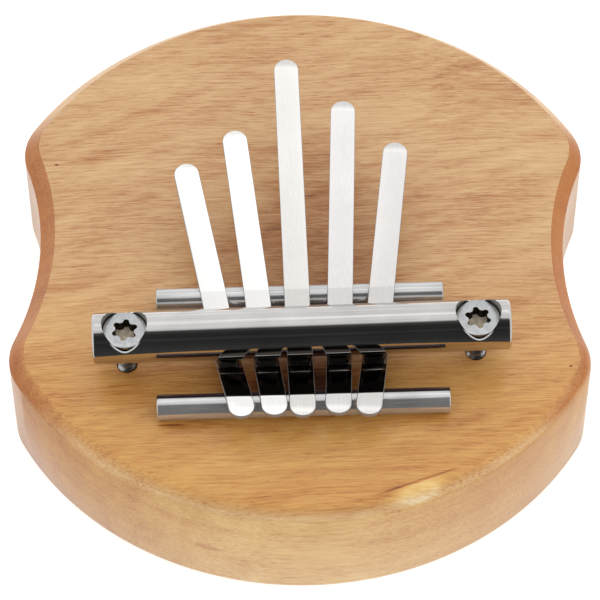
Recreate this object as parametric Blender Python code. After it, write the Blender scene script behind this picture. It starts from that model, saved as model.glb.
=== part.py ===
"""Kalimba: a round wooden soundboard with five steel tines under a clamp bar.

Units are metres and +Z is up. The origin is the middle of the board's flat
underside, +Y points away from the player and the tines fan out towards +Y.
"""

import math

import bmesh
import bpy
from mathutils import Matrix, Vector

# Soundboard: a thick disc with a shallow hand notch in each side
BOARD_DIAMETER = 0.1025
BOARD_THICKNESS = 0.0205
NOTCH_LENGTH = 0.0420
NOTCH_DEPTH = 0.00915
CORNER_RADIUS = 0.0097
TOP_CHAMFER = 0.00225
UNDERSIDE_ROUND = 0.0010

# Place of the metal parts: the middle of the bar, turned a little on the board
HARDWARE_X = 0.0003
HARDWARE_Y = -0.02177
HARDWARE_TURN = math.radians(2.45)

# Clamp bar
BAR_DIAMETER = 0.0080
BAR_LENGTH = 0.0650
BAR_LIFT = 0.0032
BAR_TURN = math.radians(0.6)
BAR_END_CHAMFER = 0.0005

# Bridge rod behind the bar and rest rod in front of it
ROD_DIAMETER = 0.0040
ROD_LENGTH = 0.0453
ROD_SINK = 0.0001
ROD_END_CHAMFER = 0.0002
BRIDGE_DISTANCE = 0.01035
REST_DISTANCE = 0.00993

# Countersunk screws with six-lobed sockets
SCREW_INSET = 0.0052
SCREW_HEAD_DIAMETER = 0.0067
SCREW_HEAD_RIM = 0.00035
SCREW_HEAD_DROP = 0.0022
SCREW_SHANK_DIAMETER = 0.0030
SCREW_POINT_LENGTH = 0.0040
WOOD_UNDER_SCREW = 0.0045
SOCKET_ACROSS_LOBES = 0.0040
SOCKET_ACROSS_FLUTES = 0.0029
SOCKET_DEPTH = 0.0018
LEFT_SCREW_TURN = math.radians(20.4)
RIGHT_SCREW_TURN = math.radians(38.6)

# Tines: flat spring steel with rolled edges and round ends
TINE_WIDTH = 0.0040
TINE_THICKNESS = 0.0008
TINE_EDGE = 0.00015
PLAYING_RISE = math.radians(8.0)
TAIL_RISE = math.radians(0.0)
# Places under the bar: the middle tine's, and the free width between neighbours
MIDDLE_TINE_PLACE = -0.00035
GAP_1_TO_2 = 0.00205
GAP_2_TO_3 = 0.00145
GAP_3_TO_4 = 0.00225
GAP_4_TO_5 = 0.00175

# Each tine's fan angle, sounding length behind the bridge and overhang past the rest rod
TINE_1_FAN = math.radians(10.2)
TINE_1_SOUNDING = 0.0230
TINE_1_OVERHANG = 0.0038
TINE_2_FAN = math.radians(5.8)
TINE_2_SOUNDING = 0.0287
TINE_2_OVERHANG = 0.0037
TINE_3_FAN = math.radians(0.65)
TINE_3_SOUNDING = 0.0417
TINE_3_OVERHANG = 0.0040
TINE_4_FAN = math.radians(-2.9)
TINE_4_SOUNDING = 0.0336
TINE_4_OVERHANG = 0.0037
TINE_5_FAN = math.radians(-7.5)
TINE_5_SOUNDING = 0.0258
TINE_5_OVERHANG = 0.0041

# Clearances between pieces that touch or pass through one another
SEAT_GAP = 0.0003
SHANK_GAP = 0.0005

# Fineness of the round shapes
RIM_STEP = math.radians(3.0)
BAR_SIDES = 64
ROD_SIDES = 40
SCREW_SIDES = 40
POINTS_PER_LOBE = 10
BEND_STEP = math.radians(3.2)
END_STEPS = 7
SMOOTH_ANGLE = math.radians(30.0)
MERGE = 0.000001

# Sizes that follow from the ones above
BAR_RADIUS = BAR_DIAMETER / 2
ROD_RADIUS = ROD_DIAMETER / 2
BAR_AXIS = BAR_LIFT + BAR_RADIUS
ROD_AXIS = ROD_RADIUS - ROD_SINK
ROD_CREST = ROD_AXIS + ROD_RADIUS
HEAD_RADIUS = SCREW_HEAD_DIAMETER / 2
SHANK_RADIUS = SCREW_SHANK_DIAMETER / 2
HEAD_FACE = BAR_RADIUS - SCREW_HEAD_DROP
TIP_DEPTH = BAR_AXIS + BOARD_THICKNESS - WOOD_UNDER_SCREW
SCREW_PLACE = BAR_LENGTH / 2 - SCREW_INSET
TINE_2_PLACE = MIDDLE_TINE_PLACE - TINE_WIDTH - GAP_2_TO_3
TINE_1_PLACE = TINE_2_PLACE - TINE_WIDTH - GAP_1_TO_2
TINE_4_PLACE = MIDDLE_TINE_PLACE + TINE_WIDTH + GAP_3_TO_4
TINE_5_PLACE = TINE_4_PLACE + TINE_WIDTH + GAP_4_TO_5
TINES = [
    (TINE_1_PLACE, TINE_1_FAN, TINE_1_SOUNDING, TINE_1_OVERHANG),
    (TINE_2_PLACE, TINE_2_FAN, TINE_2_SOUNDING, TINE_2_OVERHANG),
    (MIDDLE_TINE_PLACE, TINE_3_FAN, TINE_3_SOUNDING, TINE_3_OVERHANG),
    (TINE_4_PLACE, TINE_4_FAN, TINE_4_SOUNDING, TINE_4_OVERHANG),
    (TINE_5_PLACE, TINE_5_FAN, TINE_5_SOUNDING, TINE_5_OVERHANG),
]


def clear_scene():
    """Remove every object, so that the script can run more than once."""
    for item in list(bpy.data.objects):
        bpy.data.objects.remove(item, do_unlink=True)


def principled(name, colour, roughness, metallic):
    """Return a plain surface of one colour (linear red, green and blue)."""
    material = bpy.data.materials.new(name)
    material.use_nodes = True
    shader = material.node_tree.nodes["Principled BSDF"]
    shader.inputs["Base Color"].default_value = (*colour, 1.0)
    shader.inputs["Roughness"].default_value = roughness
    shader.inputs["Metallic"].default_value = metallic
    return material


def new_object(name, shape, material=None, parent=None):
    """Turn a bmesh into a smooth-shaded object with outward faces."""
    bmesh.ops.recalc_face_normals(shape, faces=shape.faces)
    mesh = bpy.data.meshes.new(name)
    shape.to_mesh(mesh)
    shape.free()
    mesh.shade_smooth()
    mesh.set_sharp_from_angle(angle=SMOOTH_ANGLE)
    if material:
        mesh.materials.append(material)
    item = bpy.data.objects.new(name, mesh)
    bpy.context.collection.objects.link(item)
    item.parent = parent
    return item


def frame(name, parent=None):
    """Return an empty that carries other pieces."""
    item = bpy.data.objects.new(name, None)
    bpy.context.collection.objects.link(item)
    item.parent = parent
    return item


def cut(target, cutter):
    """Subtract one closed shape from another and hide the cutter."""
    cutter.hide_render = True
    cutter.display_type = "WIRE"
    modifier = target.modifiers.new(cutter.name, "BOOLEAN")
    modifier.operation = "DIFFERENCE"
    modifier.solver = "EXACT"
    modifier.object = cutter


def turned(profile, sides):
    """Revolve (radius, height) points round the Z axis into a closed bmesh."""
    shape = bmesh.new()
    points = [shape.verts.new((radius, 0.0, height)) for radius, height in profile]
    edges = [shape.edges.new(pair) for pair in zip(points, points[1:])]
    bmesh.ops.spin(
        shape,
        geom=points + edges,
        cent=(0.0, 0.0, 0.0),
        axis=(0.0, 0.0, 1.0),
        angle=math.tau,
        steps=sides,
        use_merge=True,
    )
    bmesh.ops.remove_doubles(shape, verts=shape.verts, dist=MERGE)
    return shape


def round_bar(radius, length, chamfer, sides):
    """Return a chamfered cylinder that lies along X."""
    half = length / 2
    profile = [
        (0.0, -half),
        (radius - chamfer, -half),
        (radius, chamfer - half),
        (radius, half - chamfer),
        (radius - chamfer, half),
        (0.0, half),
    ]
    shape = turned(profile, sides)
    bmesh.ops.rotate(shape, verts=shape.verts, matrix=Matrix.Rotation(math.pi / 2, 3, "Y"))
    return shape


def prism(outline, low, high):
    """Extrude a flat outline of (x, y) points from one height to another."""
    shape = bmesh.new()
    base = shape.faces.new([shape.verts.new((x, y, low)) for x, y in outline])
    grown = bmesh.ops.extrude_face_region(shape, geom=[base])
    top = [part for part in grown["geom"] if isinstance(part, bmesh.types.BMVert)]
    bmesh.ops.translate(shape, verts=top, vec=(0.0, 0.0, high - low))
    return shape


def arc(centre, radius, start, end):
    """Return points along an arc, with its first point and without its last."""
    steps = max(2, math.ceil(abs(end - start) / RIM_STEP))
    angles = [start + (end - start) * step / steps for step in range(steps)]
    return [(centre[0] + radius * math.cos(a), centre[1] + radius * math.sin(a)) for a in angles]


def board_outline():
    """Return the rim: a circle, two notch arcs and a fillet at each notch end."""
    rim = BOARD_DIAMETER / 2
    notch_end = Vector((math.sqrt(rim**2 - (NOTCH_LENGTH / 2) ** 2), NOTCH_LENGTH / 2))
    waist = rim - NOTCH_DEPTH
    sagitta = notch_end.x - waist
    notch = (sagitta**2 + notch_end.y**2) / (2 * sagitta)
    notch_x = waist + notch
    # The fillet's centre lies inside the rim and outside the notch circle.
    to_rim = rim - CORNER_RADIUS
    to_notch = notch + CORNER_RADIUS
    fillet_x = (to_rim**2 - to_notch**2 + notch_x**2) / (2 * notch_x)
    fillet_y = math.sqrt(to_rim**2 - fillet_x**2)
    rim_angle = math.atan2(fillet_y, fillet_x)
    notch_angle = math.atan2(-fillet_y, notch_x - fillet_x)
    bow = math.pi + notch_angle
    # One quarter, from the waist at +X round to the back at +Y.
    quarter = arc((notch_x, 0.0), notch, math.pi, bow)
    quarter += arc((fillet_x, fillet_y), CORNER_RADIUS, notch_angle, rim_angle)
    quarter += arc((0.0, 0.0), rim, rim_angle, math.pi / 2)
    half = quarter + [(0.0, rim)] + [(-x, y) for x, y in reversed(quarter[1:])]
    return half + [(-waist, 0.0)] + [(x, -y) for x, y in reversed(half[1:])]


def bevel_level(shape, height, width, segments):
    """Bevel the rim edges that lie at one height."""
    rim = [edge for edge in shape.edges if all(abs(v.co.z - height) < MERGE for v in edge.verts)]
    bmesh.ops.bevel(
        shape,
        geom=rim,
        offset=width,
        offset_type="OFFSET",
        segments=segments,
        profile=0.5,
        affect="EDGES",
        clamp_overlap=False,
    )


def soundboard(material):
    """Return the board with a chamfered top rim and a softened lower rim."""
    shape = prism(board_outline(), 0.0, BOARD_THICKNESS)
    bevel_level(shape, BOARD_THICKNESS, TOP_CHAMFER, 1)
    bevel_level(shape, 0.0, UNDERSIDE_ROUND, 3)
    return new_object("soundboard", shape, material)


def rod(name, distance, material, hardware, board):
    """Lay a rod in a shallow seat in the board, at a distance behind the bar."""
    place = Vector((0.0, distance, ROD_AXIS))
    shape = round_bar(ROD_RADIUS, ROD_LENGTH, ROD_END_CHAMFER, ROD_SIDES)
    item = new_object(name, shape, material, hardware)
    item.location = place
    seat = round_bar(ROD_RADIUS + SEAT_GAP, ROD_LENGTH + 2 * SEAT_GAP, 0.0, ROD_SIDES)
    cutter = new_object(name + "_seat", seat, parent=hardware)
    cutter.location = place
    cut(board, cutter)
    return item


def clamp_bar(material, hardware):
    """Return the round bar, before its screw holes are cut."""
    shape = round_bar(BAR_RADIUS, BAR_LENGTH, BAR_END_CHAMFER, BAR_SIDES)
    item = new_object("clamp_bar", shape, material, hardware)
    item.location = (0.0, 0.0, BAR_AXIS)
    item.rotation_euler.z = BAR_TURN
    return item


def screw_profile():
    """Return the countersunk screw's profile, with the bar's axis at height 0."""
    rim_foot = HEAD_FACE - SCREW_HEAD_RIM
    return [
        (0.0, -TIP_DEPTH),
        (SHANK_RADIUS, SCREW_POINT_LENGTH - TIP_DEPTH),
        (SHANK_RADIUS, rim_foot - (HEAD_RADIUS - SHANK_RADIUS)),
        (HEAD_RADIUS, rim_foot),
        (HEAD_RADIUS, HEAD_FACE),
        (0.0, HEAD_FACE),
    ]


def bar_hole_profile():
    """Return the stepped hole: a shank hole, a 90 degree seat and a counterbore."""
    hole = SHANK_RADIUS + SHANK_GAP
    bore = HEAD_RADIUS + SEAT_GAP
    # The seat is parallel to the head's cone, one gap below it.
    seat_top = HEAD_FACE - SCREW_HEAD_RIM - SEAT_GAP * math.sqrt(2) + SEAT_GAP
    return [
        (0.0, -2 * BAR_RADIUS),
        (hole, -2 * BAR_RADIUS),
        (hole, seat_top - (bore - hole)),
        (bore, seat_top),
        (bore, 2 * BAR_RADIUS),
        (0.0, 2 * BAR_RADIUS),
    ]


def pilot_profile():
    """Return the blind hole in the board that the screw's shank runs into."""
    hole = SHANK_RADIUS + SEAT_GAP
    return [
        (0.0, -TIP_DEPTH - SEAT_GAP),
        (SEAT_GAP, -TIP_DEPTH - SEAT_GAP),
        (hole, SCREW_POINT_LENGTH - TIP_DEPTH),
        (hole, -BAR_RADIUS - BAR_LIFT / 2),
        (0.0, -BAR_RADIUS - BAR_LIFT / 2),
    ]


def socket_outline():
    """Return the six-lobed outline of the driver socket."""
    middle = (SOCKET_ACROSS_LOBES + SOCKET_ACROSS_FLUTES) / 4
    swing = (SOCKET_ACROSS_LOBES - SOCKET_ACROSS_FLUTES) / 4
    count = 6 * POINTS_PER_LOBE
    angles = [math.tau * step / count for step in range(count)]
    radii = [middle + swing * math.cos(6 * angle) for angle in angles]
    return [(r * math.cos(a), r * math.sin(a)) for r, a in zip(radii, angles)]


def screw(name, offset, turn, material, bar, board):
    """Place a screw through the bar into the board, and cut its holes in both."""
    item = new_object(name, turned(screw_profile(), SCREW_SIDES), material, bar)
    bar_hole = new_object(name + "_bar_hole", turned(bar_hole_profile(), SCREW_SIDES), parent=bar)
    pilot = new_object(name + "_pilot_hole", turned(pilot_profile(), SCREW_SIDES), parent=bar)
    for piece in (item, bar_hole, pilot):
        piece.location.x = offset
    item.rotation_euler.z = turn
    cut(bar, bar_hole)
    cut(board, pilot)
    socket_shape = prism(socket_outline(), HEAD_FACE - SOCKET_DEPTH, HEAD_FACE + SOCKET_DEPTH)
    cut(item, new_object(name + "_socket", socket_shape, parent=item))
    return item


def clamped_slope(distance):
    """Slope of a tine between the bar and a rod, tangent to the clearance round both."""
    drop = BAR_AXIS - ROD_AXIS
    spread = BAR_RADIUS + ROD_RADIUS + 2 * SEAT_GAP + TINE_THICKNESS
    return math.asin(spread / math.hypot(distance, drop)) - math.atan2(drop, distance)


def bend(centre, radius, start, end):
    """Return (distance, height, slope) stations round one bend of a tine.

    A positive radius bends under the centre, a negative one over it.
    """
    steps = max(1, math.ceil(abs(end - start) / BEND_STEP))
    slopes = [start + (end - start) * step / steps for step in range(steps + 1)]
    return [(centre[0] + radius * math.sin(a), centre[1] - radius * math.cos(a), a) for a in slopes]


def side_view():
    """Return the middle line of a tine from its tail to its playing part."""
    half = TINE_THICKNESS / 2
    under = BAR_RADIUS + SEAT_GAP + half
    over = -(ROD_RADIUS + SEAT_GAP + half)
    front = -clamped_slope(REST_DISTANCE)
    back = clamped_slope(BRIDGE_DISTANCE)
    line = bend((-REST_DISTANCE, ROD_AXIS), over, TAIL_RISE, front)
    line += bend((0.0, BAR_AXIS), under, front, back)
    line += bend((BRIDGE_DISTANCE, ROD_AXIS), over, back, PLAYING_RISE)
    return line


def section(half_width):
    """Return the (across, up) corners of a tine's section with rolled edges."""
    up = TINE_THICKNESS / 2
    inner = half_width - TINE_EDGE
    corner = [(half_width, up - TINE_EDGE), (inner, up)]
    right = [(w, -h) for w, h in reversed(corner)] + corner
    return right + [(-w, -h) for w, h in right]


def bend_ring(station, fan):
    """Return a section's corners where a tine bends, in the tine's own axes."""
    distance, height, slope = station
    ring = []
    for across, up in section(TINE_WIDTH / 2):
        reach = distance - up * math.sin(slope)
        along = (reach - across * math.sin(fan)) / math.cos(fan)
        ring.append((across, along, height + up * math.cos(slope)))
    return ring


def end_rings(station, fan, end, facing):
    """Return the sections of a round end that lies in one flat stretch."""
    distance, height, slope = station
    radius = TINE_WIDTH / 2
    rings = []
    for step in range(END_STEPS):
        angle = math.pi / 2 * step / END_STEPS
        along = end - facing * radius * (1 - math.sin(angle))
        ring = []
        for across, up in section(radius * math.cos(angle)):
            reach = along * math.cos(fan) + across * math.sin(fan)
            rise = (reach - distance) * math.tan(slope) + up / math.cos(slope)
            ring.append((across, along, height + rise))
        rings.append(ring)
    return rings


def loft(rings):
    """Skin a row of sections, all with the same number of corners."""
    shape = bmesh.new()
    loops = []
    for ring in rings:
        corners = [shape.verts.new(point) for point in ring]
        loops.append([shape.edges.new(pair) for pair in zip(corners, corners[1:] + corners[:1])])
    for near, far in zip(loops, loops[1:]):
        bmesh.ops.bridge_loops(shape, edges=near + far)
    bmesh.ops.contextual_create(shape, geom=loops[0])
    bmesh.ops.contextual_create(shape, geom=loops[-1])
    return shape


def tine(name, place, fan, sounding, overhang, material, hardware):
    """Return one bent tine, with its origin where it crosses the bridge rod."""
    crossing = BRIDGE_DISTANCE / math.cos(fan)
    tail = REST_DISTANCE / math.cos(fan) + overhang
    line = side_view()
    rings = end_rings(line[0], fan, -tail, -1.0)[::-1]
    rings += [bend_ring(station, fan) for station in line]
    rings += end_rings(line[-1], fan, crossing + sounding, 1.0)
    shape = loft(rings)
    bmesh.ops.translate(shape, verts=shape.verts, vec=(0.0, -crossing, -ROD_CREST))
    item = new_object(name, shape, material, hardware)
    item.location = (place - crossing * math.sin(fan), BRIDGE_DISTANCE, ROD_CREST)
    item.rotation_euler.z = fan
    return item


def build():
    """Make every piece of the kalimba."""
    clear_scene()
    wood = principled("oiled_wood", (0.52, 0.29, 0.13), 0.45, 0.0)
    polished = principled("polished_steel", (0.72, 0.72, 0.74), 0.12, 1.0)
    drawn = principled("drawn_steel", (0.60, 0.61, 0.61), 0.28, 1.0)
    zinc = principled("zinc_plated_steel", (0.55, 0.55, 0.54), 0.35, 1.0)
    spring = principled("spring_steel", (0.80, 0.80, 0.80), 0.22, 1.0)

    board = soundboard(wood)
    hardware = frame("hardware")
    hardware.location = (HARDWARE_X, HARDWARE_Y, BOARD_THICKNESS)
    hardware.rotation_euler.z = HARDWARE_TURN
    rod("bridge_rod", BRIDGE_DISTANCE, drawn, hardware, board)
    rod("rest_rod", -REST_DISTANCE, drawn, hardware, board)
    bar = clamp_bar(polished, hardware)
    screw("screw_left", -SCREW_PLACE, LEFT_SCREW_TURN, zinc, bar, board)
    screw("screw_right", SCREW_PLACE, RIGHT_SCREW_TURN, zinc, bar, board)
    for number, (place, fan, sounding, overhang) in enumerate(TINES, start=1):
        tine(f"tine_{number}", place, fan, sounding, overhang, spring, hardware)


build()
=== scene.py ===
"""A five-tongue kalimba on a waisted board of oiled wood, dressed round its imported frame."""
import logging
import math
from collections.abc import Callable
from dataclasses import dataclass, replace
from enum import Enum

import bmesh
import bpy
from mathutils import Matrix, Vector


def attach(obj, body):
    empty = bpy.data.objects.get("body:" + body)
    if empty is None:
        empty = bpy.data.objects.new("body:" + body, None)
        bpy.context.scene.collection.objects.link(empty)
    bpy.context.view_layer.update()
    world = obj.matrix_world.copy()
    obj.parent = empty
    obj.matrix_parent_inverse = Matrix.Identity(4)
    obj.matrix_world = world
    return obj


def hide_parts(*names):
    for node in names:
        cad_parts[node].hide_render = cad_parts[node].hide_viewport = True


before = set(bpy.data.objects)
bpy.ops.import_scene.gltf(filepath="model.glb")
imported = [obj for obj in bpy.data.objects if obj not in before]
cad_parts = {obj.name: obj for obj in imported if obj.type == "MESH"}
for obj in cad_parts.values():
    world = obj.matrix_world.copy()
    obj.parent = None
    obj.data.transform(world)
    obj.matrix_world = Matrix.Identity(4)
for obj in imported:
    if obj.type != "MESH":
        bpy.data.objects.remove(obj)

Mesh = bmesh.types.BMesh
Vert = bmesh.types.BMVert
Material = bpy.types.Material
Tree = bpy.types.NodeTree
Node = bpy.types.Node
Socket = bpy.types.NodeSocket
Piece = bpy.types.Object
Point = tuple[float, float, float]

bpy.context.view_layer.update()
MM = 0.001
# In millimetres: vertices this close touch or are merged, places this close are the same, and
# a test for what lies inside or on a circle has this much slack.
TOUCH = 1e-5
MERGE = 1e-3
SAME = 1e-4
SLACK = 0.01
# The profiles of a round bevel and of a flat one.
ROUND = 0.5
FLAT = 0.25
Z_AXIS = (0.0, 0.0, 1.0)
ORIGIN = (0.0, 0.0, 0.0)
# What turns a Map Range node's straight ramp into a soft one, and a Mix node into a tint.
EASED = {"interpolation_type": "SMOOTHSTEP"}
TINT = {"data_type": "RGBA", "blend_type": "MULTIPLY"}
log = logging.getLogger("kalimba")


# Colour and nodes

def linear(code: str) -> tuple[float, float, float, float]:
    """Turn an sRGB hex colour into linear values.

    Args:
        code: the colour as "#RRGGBB".

    Returns:
        Linear red, green and blue, and full opacity.
    """
    parts = [int(code[place:place + 2], 16) / 255 for place in (1, 3, 5)]
    red, green, blue = [p / 12.92 if p <= 0.04045 else ((p + 0.055) / 1.055) ** 2.4 for p in parts]
    return red, green, blue, 1.0


def set_node(tree: Tree, node: Node, settings: dict) -> None:
    """Give a node its settings and links.

    Args:
        tree: the tree that the node is in.
        node: the node.
        settings: properties by name and inputs by name or number. An input takes a value, an
            output that feeds it, or a node whose first output in use does. "ramp" takes pairs
            of a place and a hex colour or linear grey.
    """
    for key, value in settings.items():
        if key == "ramp":
            stops = node.color_ramp.elements
            while len(stops) < len(value):
                stops.new(0.5)
            for stop, (place, tone) in zip(stops, value):
                stop.position = place
                stop.color = linear(tone) if isinstance(tone, str) else (tone,) * 3 + (1.0,)
        elif isinstance(value, (Node, Socket)):
            if isinstance(value, Node):
                value = next(output for output in value.outputs if output.enabled)
            tree.links.new(value, node.inputs[key])
        elif isinstance(key, int) or key in node.inputs:
            node.inputs[key].default_value = value
        else:
            setattr(node, key, value)


def add_node(tree: Tree, kind: str, settings: dict | None = None) -> Node:
    """Add one node with its settings and links.

    Args:
        tree: the node tree that gets the node.
        kind: the node's type name, after "ShaderNode".
        settings: its settings and links, as set_node takes them.

    Returns:
        The new node.
    """
    node = tree.nodes.new("ShaderNode" + kind)
    set_node(tree, node, settings or {})
    return node


def new_material(name: str) -> tuple[Material, Node]:
    """Start a material.

    Args:
        name: the material's name.

    Returns:
        The material and its shader node.
    """
    material = bpy.data.materials.new(name)
    material.use_nodes = True
    return material, material.node_tree.nodes["Principled BSDF"]


# Mesh helpers

def walk_arc(shape: Mesh, tip: Vert, centre: tuple[float, float],
             turn: float, step: float) -> Vert:
    """Extend a line in the XY plane round an arc.

    Args:
        shape: the mesh that holds the line.
        tip: the line's last vertex, where the arc starts.
        centre: the arc's centre.
        turn: the angle that the arc covers, anticlockwise when positive.
        step: the largest angle between two vertices.

    Returns:
        The vertex at the arc's end.
    """
    count = max(1, math.ceil(abs(turn) / step))
    made = bmesh.ops.spin(shape, geom=[tip], cent=(*centre, tip.co.z), axis=Z_AXIS,
                          dvec=ORIGIN, angle=turn, steps=count, use_merge=False)
    return next(item for item in made["geom_last"] if isinstance(item, Vert))


def walk_line(shape: Mesh, tip: Vert, step: Point) -> Vert:
    """Extend a line by one straight edge.

    Args:
        shape: the mesh that holds the line.
        tip: the line's last vertex.
        step: the way from it to the new one.

    Returns:
        The new vertex.
    """
    made = bmesh.ops.extrude_vert_indiv(shape, verts=[tip])["verts"][0]
    made.co += Vector(step)
    return made


def fill_and_raise(shape: Mesh, height: float) -> None:
    """Fill a closed line with a face and draw the face up into a solid.

    Args:
        shape: the mesh that holds the closed line.
        height: how far the face is drawn up.
    """
    bmesh.ops.remove_doubles(shape, verts=shape.verts, dist=MERGE)
    bmesh.ops.contextual_create(shape, geom=shape.edges[:])
    made = bmesh.ops.extrude_face_region(shape, geom=shape.faces[:])["geom"]
    lifted = [item for item in made if isinstance(item, Vert)]
    bmesh.ops.translate(shape, verts=lifted, vec=(0.0, 0.0, height))
    bmesh.ops.recalc_face_normals(shape, faces=shape.faces)


def round_edges(shape: Mesh, edges: list, width: float, segments: int,
                profile: float = ROUND) -> None:
    """Bevel some edges.

    Args:
        shape: the mesh.
        edges: the edges to bevel.
        width: the bevel's width along each face.
        segments: how many faces cross the bevel.
        profile: ROUND or FLAT.
    """
    bmesh.ops.bevel(shape, geom=edges, offset=width, offset_type="OFFSET", segments=segments,
                    profile=profile, material=-1, affect="EDGES", clamp_overlap=True)


def level_edges(shape: Mesh, height: float) -> list:
    """Return the edges that lie at one height."""
    return [e for e in shape.edges if all(abs(v.co.z - height) < SAME for v in e.verts)]


def turned(profile: list[tuple[float, float]], sides: int) -> Mesh:
    """Turn a solid on the Z axis, as on a lathe.

    Args:
        profile: (radius, height) corners from the axis round to the axis again.
        sides: how many steps the turn has.

    Returns:
        The closed solid.
    """
    shape = bmesh.new()
    tip = shape.verts.new((profile[0][0], 0.0, profile[0][1]))
    for near, far in zip(profile, profile[1:]):
        tip = walk_line(shape, tip, (far[0] - near[0], 0.0, far[1] - near[1]))
    bmesh.ops.spin(shape, geom=shape.verts[:] + shape.edges[:], cent=ORIGIN, axis=Z_AXIS,
                   dvec=ORIGIN, angle=math.tau, steps=sides, use_merge=True)
    bmesh.ops.remove_doubles(shape, verts=shape.verts, dist=TOUCH)
    bmesh.ops.recalc_face_normals(shape, faces=shape.faces)
    return shape


def share_of(value: float, start: float, end: float) -> float:
    """Return how far a value is on its way from start to end, from 0 to 1."""
    return min(1.0, max(0.0, (value - start) / (end - start)))


def reflect(shape: Mesh, axis: str) -> None:
    """Mirror a line across an axis and join its halves."""
    bmesh.ops.mirror(shape, geom=shape.verts[:] + shape.edges[:], axis=axis, merge_dist=SAME)
    bmesh.ops.remove_doubles(shape, verts=shape.verts, dist=SAME)


def cut_across(shape: Mesh, place: Point, normal: Point, near: float = TOUCH,
               above: bool = False, below: bool = False) -> None:
    """Cut a mesh by a plane.

    Args:
        shape: the mesh.
        place: a point in the plane.
        normal: the plane's normal.
        near: vertices this close to the plane count as on it.
        above: whether what lies on the normal's side is deleted.
        below: whether what lies on the other side is deleted.
    """
    bmesh.ops.bisect_plane(shape, geom=shape.verts[:] + shape.edges[:] + shape.faces[:],
                           plane_co=place, plane_no=normal, dist=near, clear_outer=above,
                           clear_inner=below)


def round_rod(diameter: float, length: float, sides: int, end_round: float, faces: int,
              cut: float = 0.0) -> Mesh:
    """Return a round rod along X with rounded ends.

    Args:
        diameter: its diameter.
        length: its length.
        sides: how many long faces it has.
        end_round: the radius at its ends.
        faces: how many faces cross that.
        cut: how far inside each end the long faces are cut, which keeps the shading of the
            rounded end off them, or 0 for no cut.

    Returns:
        The closed solid, with its middle at the origin.
    """
    shape = bmesh.new()
    bmesh.ops.create_cone(shape, cap_ends=True, segments=sides, radius1=diameter / 2,
                          radius2=diameter / 2, depth=length)
    for end in (-length / 2, length / 2):
        round_edges(shape, level_edges(shape, end), end_round, faces)
        if cut:
            cut_across(shape, (0.0, 0.0, end - math.copysign(cut, end)), Z_AXIS, 0.0)
    bmesh.ops.rotate(shape, verts=shape.verts, matrix=Matrix.Rotation(math.pi / 2, 3, "Y"))
    return shape


def carve(shape: Mesh, cutters: list[Mesh]) -> Mesh:
    """Cut some solids out of another with exact Booleans.

    Args:
        shape: the solid that is cut; it is used up.
        cutters: the solids that are taken away; they are used up.

    Returns:
        The solid that is left.
    """
    objects = []
    for part in [shape] + cutters:
        mesh = bpy.data.meshes.new("blank")
        part.to_mesh(mesh)
        part.free()
        objects.append(bpy.data.objects.new("blank", mesh))
        bpy.context.scene.collection.objects.link(objects[-1])
    for cutter in objects[1:]:
        boolean = objects[0].modifiers.new("cut", "BOOLEAN")
        boolean.operation = "DIFFERENCE"
        boolean.solver = "EXACT"
        boolean.object = cutter
    carved = bmesh.new()
    carved.from_object(objects[0], bpy.context.evaluated_depsgraph_get())
    for item in objects:
        mesh = item.data
        bpy.data.objects.remove(item)
        bpy.data.meshes.remove(mesh)
    bmesh.ops.remove_doubles(carved, verts=carved.verts, dist=MERGE)
    return carved


def drop_flaps(shape: Mesh) -> None:
    """Split the many-sided faces and delete what is left back to back with itself.

    Two such faces that share a bent row of edges can both be split across its corner, which
    leaves two triangles on the same three vertices.

    Args:
        shape: the mesh.
    """
    bmesh.ops.triangulate(shape, faces=[face for face in shape.faces if len(face.verts) > 4])
    twins = {}
    for face in shape.faces:
        twins.setdefault(frozenset(face.verts), []).append(face)
    flaps = [face for group in twins.values() if len(group) > 1 for face in group]
    bmesh.ops.delete(shape, geom=flaps, context="FACES")


# Finishes

class Body(Enum):
    """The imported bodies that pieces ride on."""

    FRAME = "frame"
    TINE = "tine_{}"


class Slot(Enum):
    """The material slots."""

    WOOD = "oiled_wood"
    BAR = "polished_steel"
    ROD = "drawn_steel"
    SCREW = "zinc_plated_steel"
    TINE = "spring_steel"


class Marks(Enum):
    """Which way the working marks of a metal run: 1 along an axis and 0 across it."""

    ALONG_X = (1, 0, 0)
    ALONG_Y = (0, 1, 0)
    NONE = (0, 0, 0)


@dataclass(frozen=True)
class PaintedShadeBand:
    """A band of painted shade across a piece of metal, between two places along the hardware's Y.
    """

    origin: tuple[float, float]
    turn: float
    start: float
    end: float
    fade: float
    colour: str

    def lay(self, tree: Tree, here: Socket, colour: Node) -> Node:
        """Darken a colour with the band's painted shade.

        Args:
            tree: the material's nodes.
            here: the object position.
            colour: the metal's colour without the painted shade.

        Returns:
            The colour with the painted shade.
        """
        moved = add_node(tree, "VectorMath", {
            "operation": "SUBTRACT", 0: here, 1: (self.origin[0] * MM, self.origin[1] * MM, 0.0)})
        moved = add_node(tree, "Mapping", {
            "Vector": moved, "Rotation": (0.0, 0.0, -self.turn), "Scale": (1 / MM,) * 3})
        along = add_node(tree, "SeparateXYZ", {0: moved}).outputs["Y"]
        near, far = (add_node(tree, "MapRange", EASED | {
            "Value": along, "From Min": edge - half, "From Max": edge + half})
            for edge, half in ((self.start, self.fade / 2), (self.end, -self.fade / 2)))
        inside = add_node(tree, "Math", {"operation": "MULTIPLY", 0: near, 1: far})
        return add_node(tree, "Mix", TINT | {0: inside, 6: colour, 7: linear(self.colour)})


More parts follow.
